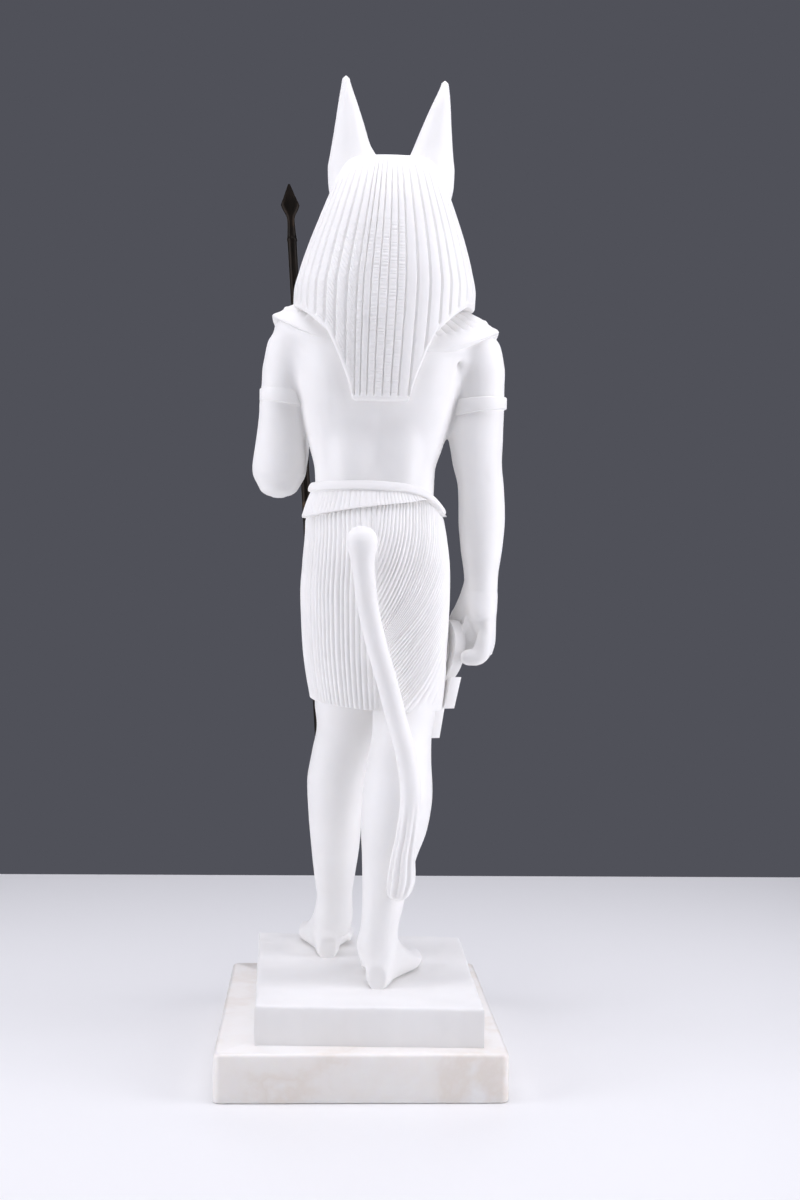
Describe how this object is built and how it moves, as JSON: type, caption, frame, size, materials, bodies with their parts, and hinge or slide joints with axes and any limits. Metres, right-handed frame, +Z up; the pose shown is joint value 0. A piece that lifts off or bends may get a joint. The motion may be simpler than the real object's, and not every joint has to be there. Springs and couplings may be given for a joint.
{
  "type": "anubis statue",
  "caption": "Striding jackal-headed god in pleated kilt with a spear and an ankh, cast in white alabaster with its plinth, on a polished slab.",
  "frame": {"origin": "middle of the slab's underside", "axes": "+Z up; the figure faces -Y and its left side is +X; the slab's long side runs along Y"},
  "size_m": [0.1059, 0.14, 0.3786],
  "materials": {
    "alabaster": "matt white cast alabaster",
    "slab_stone": "polished, faintly veined",
    "bronze": "blackened bronze, worn brown at the edges"
  },
  "bodies": {
    "root": {"figure_with_plinth": "alabaster", "base_slab": "slab_stone", "spear": "bronze"}
  },
  "joints": []
}
